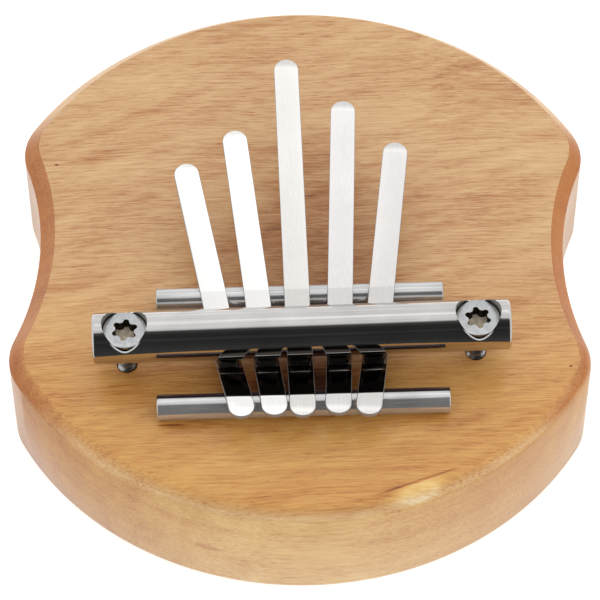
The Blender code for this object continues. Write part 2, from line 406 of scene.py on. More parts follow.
@dataclass(frozen=True)
class Metal:
    """A metal surface with fine working marks, measured in millimetres.

    Bare metal has no diffuse colour: its hex colour is how much light it throws back, and its
    marks show as thin streaks in what it mirrors.
    """

    name: str
    colour: str
    shade: str
    roughness: float
    roughness_swing: float
    mark_width: float
    mark_length: float
    mark_depth: float
    marks: Marks = Marks.ALONG_X
    turn: float = 0.0
    cloud_size: float = 9.0
    metallic: float = 1.0
    painted_shade_bands: tuple[PaintedShadeBand, ...] = ()

    def make(self) -> Material:
        """Make the material.

        Returns:
            The finished material.
        """
        material, shader = new_material(self.name)
        tree = material.node_tree
        here = add_node(tree, "TexCoord").outputs["Object"]
        straight = add_node(tree, "Mapping", {
            "Vector": here, "Rotation": (0.0, 0.0, -self.turn), "Scale": (1 / MM,) * 3})
        long, wide = 1 / self.mark_length, 1 / self.mark_width
        drawn = add_node(tree, "Mapping", {"Vector": straight, "Scale": tuple(
            long if axis else wide for axis in self.marks.value)})
        lines = add_node(tree, "TexNoise", {
            "Vector": drawn, "Scale": 1.0, "Detail": 3.0, "Roughness": 0.6})
        cloud = add_node(tree, "TexNoise", {
            "Vector": straight, "Scale": 1 / self.cloud_size, "Detail": 3.0})
        both = add_node(tree, "Math", {"operation": "ADD", 0: lines, 1: cloud})
        # A noise keeps mostly between 0.3 and 0.7, and two together between 0.7 and 1.3.
        spread = add_node(tree, "MapRange", {"Value": both, "From Min": 0.7, "From Max": 1.3})
        colour = add_node(tree, "Mix", {
            "data_type": "RGBA", 0: spread, 6: linear(self.shade), 7: linear(self.colour)})
        # Bands of painted shade darken the metal's colour.
        for shade_band in self.painted_shade_bands:
            colour = shade_band.lay(tree, here, colour)
        rough = add_node(tree, "MapRange", {
            "Value": lines, "From Min": 0.3, "From Max": 0.7,
            "To Min": self.roughness - self.roughness_swing,
            "To Max": self.roughness + self.roughness_swing})
        bump = add_node(tree, "Bump", {
            "Height": lines, "Strength": 1.0, "Distance": self.mark_depth * MM})
        set_node(tree, shader, {"Metallic": self.metallic, "Base Color": colour,
                                "Roughness": rough, "Normal": bump})
        return material


@dataclass(frozen=True)
class Grain:
    """One pattern in the wood: how long, wide and deep its grains are, in millimetres."""

    size: Point
    detail: float
    weight: float
    turn: float = 0.0

    def shift(self, tree: Tree, place: Node) -> Node:
        """Add the pattern's nodes.

        Args:
            tree: the material's nodes.
            place: the position in millimetres along the fibre.

        Returns:
            The shift of tone, as often up as down.
        """
        grain = add_node(tree, "Mapping", {"Vector": place, "Rotation": (0.0, 0.0, -self.turn)})
        grain = add_node(tree, "Mapping", {
            "Vector": grain, "Scale": tuple(1 / side for side in self.size)})
        noise = add_node(tree, "TexNoise", {"Vector": grain, "Scale": 1.0, "Detail": self.detail})
        return add_node(tree, "Math", {
            "operation": "MULTIPLY_ADD", 0: noise, 1: self.weight, 2: -self.weight / 2})


@dataclass(frozen=True)
class WoodMarkOrShade:
    """A light or dark place in the wood, as a soft ellipsoid lying along the fibre; some are real
    marks and some painted light and shade.
    """

    place: Point
    reach: Point
    tone: float
    turn: float = 3.0
    core: float = 0.35

    def shift(self, tree: Tree, here: Socket) -> Node:
        """Add the mark's nodes.

        Args:
            tree: the material's nodes.
            here: the object position.

        Returns:
            The shift of tone, which fades to nothing at the reach.
        """
        local = add_node(tree, "VectorMath", {
            "operation": "SUBTRACT", 0: here, 1: tuple(c * MM for c in self.place)})
        local = add_node(tree, "Mapping", {
            "Vector": local, "Rotation": (0.0, 0.0, -math.radians(self.turn))})
        local = add_node(tree, "VectorMath", {
            "operation": "MULTIPLY", 0: local, 1: tuple(1 / (r * MM) for r in self.reach)})
        away = add_node(tree, "VectorMath", {"operation": "LENGTH", 0: local})
        return add_node(tree, "MapRange", EASED | {
            "Value": away, "From Min": self.core, "To Min": self.tone, "To Max": 0.0})


@dataclass(frozen=True)
class OiledWood:
    """Solid flat-sawn alder, sanded and oiled.

    The fibre runs along X, rises a little to the right and wanders by a millimetre or two. Oil
    sinks into the end grain, which turns darker and redder than the face, and leaves a satin
    film that mirrors only softly.
    """

    marks: tuple[WoodMarkOrShade, ...]
    name: str = "oiled_alder"
    fibre_turn: float = math.radians(3.0)
    wander_length: float = 34.0
    wander: Point = (0.0, 3.0, 3.0)
    # Growth rings, cloudy bands, the slanting figure, short flecks and last the long fibres.
    grains: tuple[Grain, ...] = (
        Grain((60.0, 12.0, 9.0), 2.0, 0.26),
        Grain((70.0, 2.4, 3.0), 1.0, 0.2),
        Grain((60.0, 25.0, 0.8), 2.0, 0.26),
        Grain((20.0, 2.8, 6.0), 1.0, 0.28, math.radians(24.0)),
        Grain((2.5, 0.22, 0.22), 1.0, 0.36),
        Grain((9.0, 0.3, 0.22), 3.0, 0.55))
    # Pores are 0.1 mm wide and a millimetre long, drawn a little wider so that they show.
    pores: Grain = Grain((1.5, 0.17, 0.2), 1.0, 1.0)
    pore_start: float = -0.13
    pore_full: float = -0.24
    pore_tone: float = -0.16
    tones: tuple[tuple[float, str], ...] = (
        (0.0, "#5E2A10"), (0.28, "#B3753C"), (0.5, "#D0A26F"), (0.72, "#DFBA86"),
        (1.0, "#F2E0BC"))
    face_tone: float = 0.5
    # Painted light: the rim's tone is paler than the face's.
    lit_rim_tone: float = 0.6
    warmth: str = "#FFEAB1"
    warm_from: float = 4.0
    warm_full: float = -34.0
    # A pale yellow tint on the upright rim, part of its painted light.
    rim: str = "#FEFCE7"
    end_bevel: str = "#D2992E"
    end_rim: str = "#DDBC78"
    waist_y: float = -4.0
    waist_reach: tuple[float, float] = (35.0, 25.0)
    roughness: float = 0.46
    roughness_swing: float = 0.1
    relief: float = 0.03
    oil: float = 0.3
    oil_upright: float = 0.65
    oil_roughness: float = 0.2

    def make(self) -> Material:
        """Make the material.

        Returns:
            The finished material.
        """
        material, shader = new_material(self.name)
        tree = material.node_tree
        here = add_node(tree, "TexCoord").outputs["Object"]
        fibre = add_node(tree, "Mapping", {
            "Vector": here, "Rotation": (0.0, 0.0, -self.fibre_turn), "Scale": (1 / MM,) * 3})
        bend = add_node(tree, "TexNoise", {
            "Vector": fibre, "Scale": 1 / self.wander_length, "Detail": 1.0})
        place = add_node(tree, "VectorMath", {
            "operation": "MULTIPLY_ADD", 0: bend.outputs["Color"], 1: self.wander, 2: fibre})
        shifts = [grain.shift(tree, place) for grain in self.grains]
        fibres = shifts[-1]
        pits = add_node(tree, "MapRange", {
            "Value": self.pores.shift(tree, place), "From Min": self.pore_start,
            "From Max": self.pore_full, "To Min": 0.0, "To Max": self.pore_tone})
        # How far a face looks up: not at all, as the rim, or straight up, as the top.
        facing = add_node(tree, "SeparateXYZ", {
            0: add_node(tree, "NewGeometry").outputs["Normal"]}).outputs
        level = add_node(tree, "MapRange", {"Value": facing["Z"], "From Min": 0.2, "From Max": 0.6})
        flat = add_node(tree, "MapRange", {"Value": facing["Z"], "From Min": 0.6, "From Max": 0.97})
        upright = add_node(tree, "Math", {"operation": "SUBTRACT", 0: 1.0, 1: level})
        # Painted light: the upright rim is painted a shade paler than the face, where more light
        # falls on it.
        base = add_node(tree, "MapRange", {
            "Value": flat, "To Min": self.lit_rim_tone, "To Max": self.face_tone})
        tone = shifts[0]
        for shift in shifts[1:] + [pits] + [m.shift(tree, here) for m in self.marks] + [base]:
            tone = add_node(tree, "Math", {"operation": "ADD", 0: tone, 1: shift})
        colour = add_node(tree, "ValToRGB", {"ramp": self.tones, 0: tone})
        # Hands and oil have warmed the face in front of the bar.
        along = add_node(tree, "SeparateXYZ", {0: here}).outputs["Y"]
        front = add_node(tree, "MapRange", EASED | {
            "Value": along, "From Min": self.warm_from * MM, "From Max": self.warm_full * MM})
        # End grain, met wherever a face looks along the fibre, drinks more oil: deep brown on
        # the bevels of the waist, and a shade darker and redder round the rim.
        endwise = add_node(tree, "Math", {"operation": "ABSOLUTE", 0: facing["X"]})
        end = add_node(tree, "MapRange", {"Value": endwise, "From Min": 0.2, "From Max": 0.7})
        across = add_node(tree, "Math", {"operation": "SUBTRACT", 0: along, 1: self.waist_y * MM})
        across = add_node(tree, "Math", {"operation": "ABSOLUTE", 0: across})
        waist = add_node(tree, "MapRange", EASED | {
            "Value": across, "From Min": self.waist_reach[0] * MM,
            "From Max": self.waist_reach[1] * MM})
        bevel = add_node(tree, "Math", {"operation": "MULTIPLY", 0: level, 1: waist})
        for code, share, where in ((self.warmth, front, flat), (self.rim, 1.0, upright),
                                   (self.end_bevel, end, bevel), (self.end_rim, end, upright)):
            share = add_node(tree, "Math", {"operation": "MULTIPLY", 0: share, 1: where})
            colour = add_node(tree, "Mix", TINT | {0: share, 6: colour, 7: linear(code)})
        height = add_node(tree, "Math", {"operation": "ADD", 0: fibres, 1: pits})
        set_node(tree, shader, {
            "Base Color": colour,
            "Roughness": add_node(tree, "MapRange", {
                "Value": fibres, "From Min": -0.3, "From Max": 0.3,
                "To Min": self.roughness + self.roughness_swing,
                "To Max": self.roughness - self.roughness_swing}),
            "Normal": add_node(tree, "Bump", {
                "Height": height, "Strength": 0.5, "Distance": self.relief * MM}),
            "Coat Weight": add_node(tree, "MapRange", {
                "Value": upright, "To Min": self.oil, "To Max": self.oil_upright}),
            "Coat Roughness": self.oil_roughness})
        return material


# Pieces

def finish_piece(name: str, shape: Mesh, finishes: list[Material], node: str,
                 body: str, smooth: float = 32.0) -> Piece:
    """Turn a mesh in millimetres into a finished piece in its place.

    Args:
        name: the piece's name.
        shape: its mesh, in millimetres and in place; it is used up.
        finishes: its materials, in the order of the faces' material numbers.
        node: the CAD node that it stands for.
        body: the body that it rides on.
        smooth: faces that meet at less than this angle in degrees are shaded as one.

    Returns:
        The piece.
    """
    drop_flaps(shape)
    bmesh.ops.scale(shape, verts=shape.verts, vec=(MM,) * 3)
    shape.edges.index_update()
    crisp = [edge.index for edge in shape.edges if not edge.smooth]
    mesh = bpy.data.meshes.new(name)
    shape.to_mesh(mesh)
    shape.free()
    mesh.polygons.foreach_set("use_smooth", [True] * len(mesh.polygons))
    mesh.set_sharp_from_angle(angle=math.radians(smooth))
    for index in crisp:
        mesh.edges[index].use_edge_sharp = True
    for finish in finishes:
        mesh.materials.append(finish)
    piece = bpy.data.objects.new(name, mesh)
    bpy.context.scene.collection.objects.link(piece)
    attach(piece, body)
    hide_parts(node)
    log.info("%s: %d faces on %s", name, len(mesh.polygons), body)
    return piece


@dataclass
class Hardware:
    """Where the metal parts stand: their common frame on the board's top."""

    x: float = 0.3
    y: float = -21.77
    board_top: float = 20.5
    turn: float = math.radians(2.45)

    @property
    def place(self) -> Matrix:
        """The frame's place in the world, in millimetres."""
        return (Matrix.Translation((self.x, self.y, self.board_top))
                @ Matrix.Rotation(self.turn, 4, "Z"))


@dataclass
class Soundboard:
    """The round board with a waist cut in on each side and a chamfer round its top."""

    diameter: float = 102.5
    thickness: float = 20.5
    notch_length: float = 42.0
    notch_depth: float = 9.15
    corner_radius: float = 9.7
    chamfer: float = 2.25
    chamfer_shift: tuple[float, float] = (0.22, 0.12)
    foot_round: float = 1.0
    arc_step: float = math.radians(1.5)
    chamfer_faces: int = 6
    sanding: float = 0.08
    sanding_front: float = 0.6
    sanding_right: float = 0.3
    sanded_front: tuple[float, float] = (14.0, 36.0)
    sanded_right: tuple[float, float] = (-20.0, 25.0)

    def outline(self) -> Mesh:
        """Draw the rim: the circle, the two notches and their fillets.

        Returns:
            The closed line.
        """
        rim = self.diameter / 2
        half = self.notch_length / 2
        end_x = math.sqrt(rim**2 - half**2)
        waist = rim - self.notch_depth
        notch = ((end_x - waist) ** 2 + half**2) / (2 * (end_x - waist))
        notch_x = waist + notch
        to_rim = rim - self.corner_radius
        to_notch = notch + self.corner_radius
        fillet_x = (to_rim**2 - to_notch**2 + notch_x**2) / (2 * notch_x)
        fillet_y = math.sqrt(to_rim**2 - fillet_x**2)
        rim_angle = math.atan2(fillet_y, fillet_x)
        notch_angle = math.atan2(fillet_y, notch_x - fillet_x)
        shape = bmesh.new()
        tip = shape.verts.new((waist, 0.0, 0.0))
        tip = walk_arc(shape, tip, (notch_x, 0.0), -notch_angle, self.arc_step)
        tip = walk_arc(shape, tip, (fillet_x, fillet_y), notch_angle + rim_angle,
                       2 * self.arc_step)
        walk_arc(shape, tip, (0.0, 0.0), math.pi / 2 - rim_angle, self.arc_step)
        for axis in "XY":
            reflect(shape, axis)
        return shape

    def blank(self, profile: float) -> Mesh:
        """Return the board with one profile of its top edge.

        Args:
            profile: FLAT for a chamfer, ROUND for a round edge.

        Returns:
            The closed solid.
        """
        shape = self.outline()
        fill_and_raise(shape, self.thickness)
        round_edges(shape, level_edges(shape, self.thickness), self.chamfer,
                    self.chamfer_faces, profile)
        round_edges(shape, level_edges(shape, 0.0), self.foot_round, 3)
        return shape

    def sand(self, shape: Mesh) -> None:
        """Ease the chamfer as hand sanding does: most in front, least at the notches.

        Args:
            shape: the board with a flat chamfer.
        """
        soft = self.blank(ROUND)
        foot = self.thickness - self.chamfer
        for flat, rounded in zip(shape.verts, soft.verts):
            if flat.co.z < foot - SLACK:
                continue
            front = share_of(-flat.co.y, *self.sanded_front)
            right = share_of(flat.co.x, *self.sanded_right)
            flat.co = flat.co.lerp(rounded.co, self.sanding + front * (
                self.sanding_front + self.sanding_right * right))
            rise = (flat.co.z - foot) / self.chamfer
            flat.co.x += self.chamfer_shift[0] * rise
            flat.co.y += self.chamfer_shift[1] * rise
        soft.free()

    def make(self, finish: Material, screws: "Screws") -> Piece:
        """Build the board and bore it for the screws.

        Args:
            finish: the wood.
            screws: the screws whose pilot holes it has.

        Returns:
            The finished piece.
        """
        shape = self.blank(FLAT)
        self.sand(shape)
        shape = carve(shape, screws.placed(screws.pilot))
        return finish_piece("board", shape, [finish], "soundboard", Body.FRAME.value)


@dataclass
class ClampBar:
    """The polished round bar that presses the tongues down, with a stepped hole at each end."""

    hardware: Hardware
    diameter: float = 8.0
    length: float = 64.7
    lift: float = 3.2
    turn: float = math.radians(0.6)
    end_round: float = 0.5
    end_cut: float = 0.6
    sides: int = 192

    @property
    def place(self) -> Matrix:
        """The bar's own frame: X along it, origin at its middle."""
        return (self.hardware.place @ Matrix.Translation((0.0, 0.0, self.lift + self.diameter / 2))
                @ Matrix.Rotation(self.turn, 4, "Z"))

    def make(self, finish: Material, drilled: Material,
             screws: "Screws") -> Piece:
        """Build the bar with its holes.

        Args:
            finish: the bar's polished metal.
            drilled: the walls of its holes.
            screws: the screws that go through it.

        Returns:
            The finished piece.
        """
        shape = round_rod(self.diameter, self.length, self.sides, self.end_round, 5,
                          self.end_cut)
        shape.transform(self.place)
        shape = carve(shape, screws.placed(screws.bar_hole, screws.lip))
        for face in shape.faces:
            spot = face.calc_center_median()
            inside = min((spot.xy - centre.xy).length for centre in screws.centres())
            face.material_index = int(inside < screws.bore_radius + SLACK)
        # The lip stays a crisp flat beside the round of the bar.
        for edge in shape.edges:
            edge.smooth = not any(
                all(abs((v.co.xy - centre.xy).length - screws.lip_radius) < SLACK
                    for v in edge.verts) for centre in screws.centres())
        return finish_piece("clamp_bar_polished", shape, [finish, drilled],
                            "clamp_bar", Body.FRAME.value)


@dataclass
class Rods:
    """The two round rods under the tongues: the bridge behind the bar and the rest before it."""

    hardware: Hardware
    diameter: float = 4.0
    length: float = 45.3
    sink: float = 0.1
    end_round: float = 0.25
    bridge_distance: float = 10.35
    rest_distance: float = 9.93
    sides: int = 112

    @property
    def axis_height(self) -> float:
        """Height of the rods' axes above the board's top."""
        return self.diameter / 2 - self.sink

    def make(self, bridge: Material, rest: Material) -> list[Piece]:
        """Build both rods.

        Args:
            bridge: the metal of the rod behind the bar.
            rest: the metal of the rod before it.

        Returns:
            The finished pieces.
        """
        rods = []
        for name, node, y, finish in (
                ("bridge_rod_drawn", "bridge_rod", self.bridge_distance, bridge),
                ("rest_rod_drawn", "rest_rod", -self.rest_distance, rest)):
            shape = round_rod(self.diameter, self.length, self.sides, self.end_round, 3)
            shape.transform(self.hardware.place
                            @ Matrix.Translation((0.0, y, self.axis_height)))
            rods.append(finish_piece(name, shape, [finish], node, Body.FRAME.value))
        return rods


@dataclass
class Screws:
    """The two countersunk screws with six-lobed sockets that hold the bar down."""

    bar: ClampBar
    inset: float = 5.05
    head_diameter: float = 6.8
    head_rim: float = 0.35
    head_drop: float = 2.0
    shank_diameter: float = 3.0
    root_diameter: float = 2.1
    neck_length: float = 0.6
    neck_overlap: float = 0.3
    pitch: float = 1.3
    flank_share: float = 0.24
    crest_flat: float = 0.06
    thread_steps: int = 36
    point_length: float = 4.0
    point_flat: float = 0.15
    wood_under: float = 4.5
    lobes_across: float = 4.1
    flutes_across: float = 2.9
    lobe_round: float = 0.45
    lobe_step: float = math.radians(14)
    flute_step: float = math.radians(10)
    socket_depth: float = 1.8
    socket_rise: float = 0.5
    seat_gap: float = 0.3
    seat_drop: float = 0.6
    bore_gap: float = 0.15
    lip_width: float = 0.26
    lip_slope: float = 0.27
    lip_bite: float = 0.01
    pilot_gap: float = 0.12
    shank_gap: float = 0.5
    face_round: float = 0.2
    floor_cone: float = 0.35
    mouth_edge: float = 0.13
    turns: tuple[float, float] = (math.radians(20.4), math.radians(38.6))
    sides: int = 96

    @property
    def face_height(self) -> float:
        """Height of the head's flat face above the bar's axis."""
        return self.bar.diameter / 2 - self.head_drop

    @property
    def tip_depth(self) -> float:
        """Depth of the point under the bar's axis."""
        board = self.bar.hardware.board_top
        return self.bar.lift + self.bar.diameter / 2 + board - self.wood_under

    @property
    def bore_radius(self) -> float:
        """Radius of the counterbore round the head."""
        return self.head_diameter / 2 + self.bore_gap

    @property
    def lip_radius(self) -> float:
        """Outer radius of the flat where the drill broke out of the round of the bar."""
        return self.bore_radius + self.lip_width

    def places(self) -> list[Matrix]:
        """Return the screws' frames, with the origin on the bar's axis."""
        reach = self.bar.length / 2 - self.inset
        return [self.bar.place @ Matrix.Translation((side * reach, 0.0, 0.0)) for side in (-1, 1)]

    def centres(self) -> list[Vector]:
        """Return where the screws cross the bar's axis."""
        return [place.translation for place in self.places()]

    def placed(self, *cutters: Callable[[], Mesh]) -> list[Mesh]:
        """Return one of each cutter at each screw.

        Args:
            cutters: the methods that make them, in the screw's own frame.

        Returns:
            The cutters, in place.
        """
        made = []
        for place in self.places():
            for cutter in cutters:
                made.append(cutter())
                made[-1].transform(place)
        return made

    def bar_hole(self) -> Mesh:
        """Turn the cutter of the stepped hole in the bar.

        Returns:
            The closed solid.
        """
        reach = self.bar.diameter
        hole = self.shank_diameter / 2 + self.shank_gap
        bore = self.bore_radius
        top = self.face_height - self.head_rim - self.seat_drop
        return turned([(0.0, -reach), (hole, -reach), (hole, top - (bore - hole)), (bore, top),
                       (bore, reach), (0.0, reach)], self.sides)

    def lip(self) -> Mesh:
        """Return the cutter that flattens the knife edge round a counterbore.

        Its foot is a ring that follows the round of the bar and falls a little outwards.

        Returns:
            The closed solid.
        """
        outer = self.lip_radius
        shape = bmesh.new()
        bmesh.ops.create_cone(shape, cap_ends=True, segments=self.sides, radius1=outer,
                              radius2=outer, depth=2 * self.bar.diameter)
        foot = min(shape.faces, key=lambda face: face.calc_center_median().z)
        bmesh.ops.inset_region(shape, faces=[foot], thickness=2 * self.lip_width,
                               use_even_offset=True)
        level = self.bar.diameter / 2 - self.lip_bite
        for vert in shape.verts:
            if vert.co.z < 0.0:
                across = vert.co.y * outer / vert.co.xy.length
                vert.co.z = (math.sqrt(level**2 - across**2)
                             + self.lip_slope * (outer - vert.co.xy.length))
        return shape

    def pilot(self) -> Mesh:
        """Turn the cutter of the blind hole in the board.

        Returns:
            The closed solid.
        """
        hole = self.shank_diameter / 2 + self.pilot_gap
        foot = -self.tip_depth - self.seat_gap
        top = -self.bar.diameter / 2 - self.bar.lift / 2
        return turned([(0.0, foot), (self.seat_gap, foot),
                       (hole, self.point_length - self.tip_depth), (hole, top), (0.0, top)],
                      self.sides // 2)

    def head(self) -> Mesh:
        """Turn the countersunk head with a short neck.

        Returns:
            The closed solid, before its socket is cut.
        """
        radius = self.head_diameter / 2
        neck = self.root_diameter / 2
        face = self.face_height
        rim_foot = face - self.head_rim
        cone_foot = rim_foot - (radius - neck)
        shape = turned([(0.0, cone_foot - self.neck_length), (neck, cone_foot - self.neck_length),
                        (neck, cone_foot), (radius, rim_foot), (radius, face), (0.0, face)],
                       self.sides)
        round_edges(shape, level_edges(shape, face), self.face_round, 3)
        return shape

    def socket(self) -> Mesh:
        """Draw and raise the cutter of the six-lobed socket, with a coned floor.

        Returns:
            The closed solid.
        """
        out = self.lobes_across / 2 - self.lobe_round
        flute = self.flutes_across / 2
        twist = 2 * out * math.cos(math.pi / 6)
        hollow = ((self.lobe_round**2 - flute**2 - out**2 + twist * flute)
                  / (2 * flute - twist - 2 * self.lobe_round))
        centre = flute + hollow
        # The lobe's arc meets the flute's where the line between their centres crosses both.
        lobe = Vector((out, 0.0))
        dip = Vector((centre * math.cos(math.pi / 6), centre * math.sin(math.pi / 6)))
        way = dip - lobe
        swing = math.atan2(way.y, way.x)
        shape = bmesh.new()
        tip = shape.verts.new((out + self.lobe_round, 0.0, 0.0))
        tip = walk_arc(shape, tip, (out, 0.0), swing, self.lobe_step)
        inner = math.atan2(tip.co.y - dip.y, tip.co.x - dip.x)
        aim = math.pi / 6 + math.pi
        turn = (aim - inner + math.pi) % math.tau - math.pi
        walk_arc(shape, tip, tuple(dip), turn, self.flute_step)
        reflect(shape, "Y")
        bmesh.ops.spin(shape, geom=shape.verts[:] + shape.edges[:], cent=ORIGIN, axis=Z_AXIS,
                       dvec=ORIGIN, angle=math.tau, steps=6, use_merge=True,
                       use_duplicate=True)
        fill_and_raise(shape, self.socket_depth + self.socket_rise)
        floor = min(shape.faces, key=lambda face: face.calc_center_median().z)
        middle = bmesh.ops.poke(shape, faces=[floor])["verts"]
        bmesh.ops.translate(shape, verts=middle, vec=(0.0, 0.0, -self.floor_cone))
        bmesh.ops.translate(shape, verts=shape.verts,
                            vec=(0.0, 0.0, self.face_height - self.socket_depth))
        return shape

    def thread(self) -> Mesh:
        """Wind the threaded shank, from inside the head down to its point.

        Returns:
            The closed solid.
        """
        root, crest = self.root_diameter / 2, self.shank_diameter / 2
        top = (self.face_height - self.head_rim - (self.head_diameter / 2 - root)
               - self.neck_overlap)
        foot = -self.tip_depth
        flank = self.flank_share * self.pitch
        flat = self.crest_flat
        rounds = math.ceil((top - foot) / self.pitch) + 2
        shape = bmesh.new()
        tip = shape.verts.new((root, 0.0, foot - self.pitch))
        for radius, rise in ((root, self.pitch - 2 * flank - flat), (crest, flank),
                             (crest, flat), (root, flank)):
            tip = walk_line(shape, tip, (radius - tip.co.x, 0.0, rise))
        bmesh.ops.spin(shape, geom=shape.verts[:] + shape.edges[:], cent=ORIGIN, axis=Z_AXIS,
                       dvec=(0.0, 0.0, self.pitch / self.thread_steps),
                       angle=math.tau * rounds, steps=self.thread_steps * rounds,
                       use_merge=False)
        bmesh.ops.remove_doubles(shape, verts=shape.verts, dist=MERGE)
        cut_across(shape, (0.0, 0.0, top), Z_AXIS, above=True)
        cut_across(shape, (0.0, 0.0, foot + self.point_flat), Z_AXIS, below=True)
        bmesh.ops.holes_fill(shape, edges=[e for e in shape.edges if e.is_boundary], sides=0)
        for vert in shape.verts:
            taper = min(1.0, (vert.co.z - foot) / self.point_length)
            vert.co.x *= taper
            vert.co.y *= taper
        bmesh.ops.recalc_face_normals(shape, faces=shape.faces)
        return shape

    def make(self, finish: Material, wall: Material,
             floor: Material) -> list[Piece]:
        """Build both screws.

        Args:
            finish: the plated steel.
            wall: the walls of the sockets.
            floor: the floors of the sockets.

        Returns:
            The finished pieces.
        """
        screws = []
        reach = self.lobes_across / 2 + SLACK
        deepest = self.socket_depth + 2 * self.floor_cone
        for side, place, turn in zip(("left", "right"), self.places(), self.turns):
            shape = carve(self.head(), [self.socket()])
            mouth = [e for e in level_edges(shape, self.face_height)
                     if all(v.co.xy.length < reach for v in e.verts)]
            round_edges(shape, mouth, self.mouth_edge, 1)
            for face in shape.faces:
                spot = face.calc_center_median()
                inside = (spot.xy.length < reach
                          and SAME < self.face_height - spot.z < deepest)
                face.material_index = (1 if face.normal.z < 0.5 else 2) if inside else 0
            shank = bpy.data.meshes.new("shank")
            thread = self.thread()
            thread.to_mesh(shank)
            thread.free()
            shape.from_mesh(shank)
            bpy.data.meshes.remove(shank)
            shape.transform(place @ Matrix.Rotation(turn, 4, "Z"))
            screws.append(finish_piece(f"screw_{side}_threaded", shape, [finish, wall, floor],
                                       f"screw_{side}", Body.FRAME.value))
        return screws


@dataclass
class Tongue:
    """One tongue of spring steel: a straight strip with round ends, bent over the rods."""

    hardware: Hardware
    bar: ClampBar
    rods: Rods
    number: int
    place: float
    fan: float
    sounding: float
    overhang: float
    width: float = 4.0
    thickness: float = 0.8
    edge: float = 0.14
    rise: float = math.radians(8.0)
    seat_gap: float = 0.3
    bow: float = 18.0
    tail_reach: float = 1.3
    tail_bend: float = 4.0
    bend_step: float = math.radians(1.6)
    end_step: float = math.radians(6)

    def clamped_slope(self, distance: float) -> float:
        """Return the strip's slope between the bar and a rod.

        Args:
            distance: how far the rod is from the bar.

        Returns:
            The slope in radians.
        """
        drop = self.bow_centre - self.rods.axis_height
        spread = self.bow + self.rods.diameter / 2 + self.seat_gap + self.thickness / 2
        return math.asin(spread / math.hypot(distance, drop)) - math.atan2(drop, distance)

    @property
    def bow_centre(self) -> float:
        """Height of the centre that the strip bows round under the bar."""
        return self.bar.lift - self.seat_gap - self.thickness / 2 + self.bow

    def side_view(self) -> list[Point]:
        """Work out how the strip's middle line bends over the rods and under the bar.

        Returns:
            Its distance, height and slope at each end of every bend step.
        """
        half = self.thickness / 2
        over = -(self.rods.diameter / 2 + self.seat_gap + half)
        axis = self.rods.axis_height
        front = -self.clamped_slope(self.rods.rest_distance)
        back = self.clamped_slope(self.rods.bridge_distance)
        # The tail runs straight past the rest rod's crest before it bends level.
        tail = (-self.rods.rest_distance + over * math.sin(front)
                - self.tail_reach * math.cos(front) + self.tail_bend * math.sin(front),
                axis - over * math.cos(front)
                - self.tail_reach * math.sin(front) - self.tail_bend * math.cos(front))
        line = []
        for centre, radius, start, end in (
                (tail, -self.tail_bend, 0.0, front),
                ((0.0, self.bow_centre), self.bow, front, back),
                ((self.rods.bridge_distance, axis), over, back, self.rise)):
            steps = max(1, math.ceil(abs(end - start) / self.bend_step))
            for step in range(steps + 1):
                slope = start + (end - start) * step / steps
                line.append((centre[0] + radius * math.sin(slope),
                             centre[1] - radius * math.cos(slope), slope))
        return line

    def strip(self, line: list[Point]) -> Mesh:
        """Return the flat strip, scored across wherever it will bend.

        Args:
            line: the bent middle line.

        Returns:
            The strip with rolled edges; Y runs along it from where it crosses under the bar.
        """
        half = self.width / 2
        tip_y = self.rods.bridge_distance / math.cos(self.fan) + self.sounding
        tail_y = -self.rods.rest_distance / math.cos(self.fan) - self.overhang
        shape = bmesh.new()
        tip = shape.verts.new((half, tail_y + half, 0.0))
        tip = walk_line(shape, tip, (0.0, tip_y - tail_y - self.width, 0.0))
        tip = walk_arc(shape, tip, (0.0, tip_y - half), math.pi, self.end_step)
        tip = walk_line(shape, tip, (0.0, -(tip_y - tail_y - self.width), 0.0))
        walk_arc(shape, tip, (0.0, tail_y + half), math.pi, self.end_step)
        fill_and_raise(shape, self.thickness)
        bmesh.ops.translate(shape, verts=shape.verts, vec=(0.0, 0.0, -self.thickness / 2))
        rims = level_edges(shape, self.thickness / 2) + level_edges(shape, -self.thickness / 2)
        round_edges(shape, rims, self.edge, 3)
        across = (math.sin(self.fan), math.cos(self.fan), 0.0)
        for distance, _, _ in line:
            cut_across(shape, (0.0, distance / math.cos(self.fan), 0.0), across, SAME)
        return shape

    def press(self, shape: Mesh, line: list[Point]) -> None:
        """Bend the flat strip to its side view, along lines that lie as the rods do.

        Args:
            shape: the flat strip.
            line: the bent middle line.
        """
        for vert in shape.verts:
            across, along, up = vert.co
            reach = along * math.cos(self.fan) + across * math.sin(self.fan)
            near = max([s for s in line if s[0] <= reach + SAME] or line[:1])
            far = min([s for s in line if s[0] > reach + SAME] or line[-1:])
            if far[0] - near[0] < SAME:
                slope = near[2]
                height = near[1] + (reach - near[0]) * math.tan(slope)
            else:
                share = share_of(reach, near[0], far[0])
                slope = near[2] + share * (far[2] - near[2])
                height = near[1] + share * (far[1] - near[1])
                if reach < near[0]:
                    height += (reach - near[0]) * math.tan(near[2])
            shift = -up * math.sin(slope)
            vert.co = (across, along + shift / math.cos(self.fan), height + up * math.cos(slope))

    def make(self, finish: Material, tumbled_edge_and_shade: Material) -> Piece:
        """Build the tongue.

        Args:
            finish: the rolled faces.
            tumbled_edge_and_shade: the tumbled edges.

        Returns:
            The finished piece.
        """
        line = self.side_view()
        shape = self.strip(line)
        for face in shape.faces:
            face.material_index = int(abs(face.normal.z) < 0.85)
        self.press(shape, line)
        shape.transform(self.hardware.place @ Matrix.Translation((self.place, 0.0, 0.0))
                        @ Matrix.Rotation(self.fan, 4, "Z"))
        node = f"tine_{self.number}"
        return finish_piece(f"tongue_{self.number}", shape, [finish, tumbled_edge_and_shade], node,
                            Body.TINE.value.format(self.number), smooth=40.0)


# Studio

